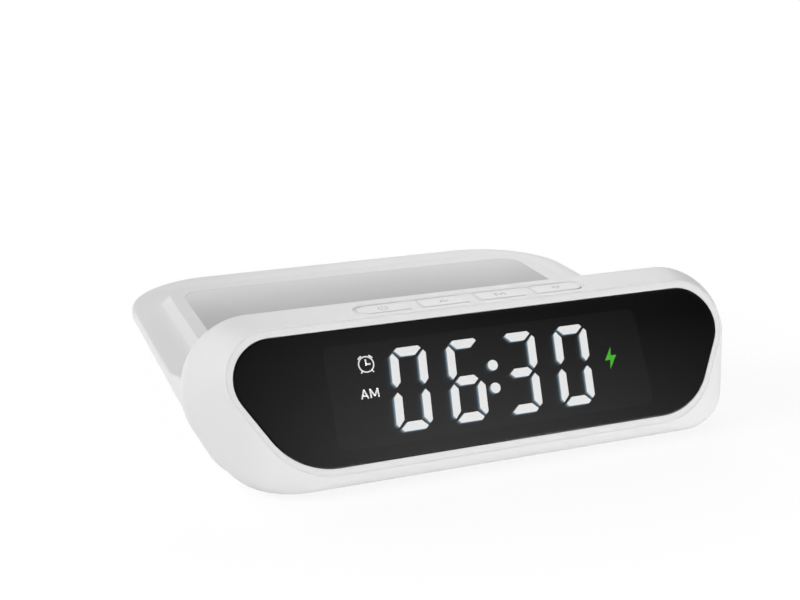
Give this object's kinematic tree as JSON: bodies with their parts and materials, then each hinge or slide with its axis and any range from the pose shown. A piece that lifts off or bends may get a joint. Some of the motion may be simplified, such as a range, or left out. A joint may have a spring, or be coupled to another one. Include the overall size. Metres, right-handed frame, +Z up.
{
  "type": "wireless charging alarm clock",
  "caption": "Desk alarm clock with a leaning digital display in a flared front housing, a row of top keys and a low wireless charging tray behind it.",
  "frame": {"origin": "centre of the overall box at the height of the table, under the feet", "axes": "+X to the right seen from the front, +Y away from the viewer, +Z up; the display faces -Y"},
  "size_m": [0.1314, 0.1232, 0.0326],
  "materials": {
    "white_shell": "moulded white, fine satin texture",
    "white_base": "moulded white, fine satin texture",
    "white_ring": "moulded white, fine grain",
    "smoked_window": "smoked, glossy",
    "light_box": "black, matt",
    "lit_segments": "lit white diffuser",
    "dark_segments": "unlit smoked diffuser",
    "circuit_board": "green solder mask",
    "key_caps": "moulded white, satin",
    "chip_black": "black moulded",
    "soft_pad": "light grey, soft matt",
    "coil_copper": "enamelled copper wire",
    "ferrite": "dark grey sintered sheet",
    "socket_metal": "plated steel",
    "ribbon": "flat flexible cable",
    "screw_steel": "zinc plated",
    "foot_rubber": "grey, soft"
  },
  "bodies": {
    "housing": {"upper_shell": "white_shell", "base_cover": "white_base", "front_bezel": "white_ring", "display_window": "smoked_window", "display_housing": "light_box", "digit_segments": "lit_segments", "blank_segments": "dark_segments", "colon_dots": "lit_segments", "display_board": "circuit_board", "key_switches": "chip_black", "key_board": "circuit_board", "charging_pad": "soft_pad", "charging_coil": "coil_copper", "coil_ferrite": "ferrite", "coil_bracket": "white_base", "coil_leads": "coil_copper", "main_board": "circuit_board", "board_chips": "chip_black", "power_socket": "socket_metal", "buzzer": "chip_black", "display_ribbon": "ribbon", "key_ribbon": "ribbon", "small_screws": "screw_steel", "case_screws": "screw_steel", "rubber_feet": "foot_rubber"},
    "power_key": {"key_power": "key_caps"},
    "up_key": {"key_up": "key_caps"},
    "mode_key": {"key_mode": "key_caps"},
    "down_key": {"key_down": "key_caps"}
  },
  "joints": [
    {"name": "power_key_press", "type": "slide", "parent": "housing", "child": "power_key", "axis": [0, 0, -1], "range_m": [0, 0.0005], "stiffness_N_per_m": 1600, "springref_m": -0.0005},
    {"name": "up_key_press", "type": "slide", "parent": "housing", "child": "up_key", "axis": [0, 0, -1], "range_m": [0, 0.0005], "stiffness_N_per_m": 1600, "springref_m": -0.0005},
    {"name": "mode_key_press", "type": "slide", "parent": "housing", "child": "mode_key", "axis": [0, 0, -1], "range_m": [0, 0.0005], "stiffness_N_per_m": 1600, "springref_m": -0.0005},
    {"name": "down_key_press", "type": "slide", "parent": "housing", "child": "down_key", "axis": [0, 0, -1], "range_m": [0, 0.0005], "stiffness_N_per_m": 1600, "springref_m": -0.0005}
  ]
}
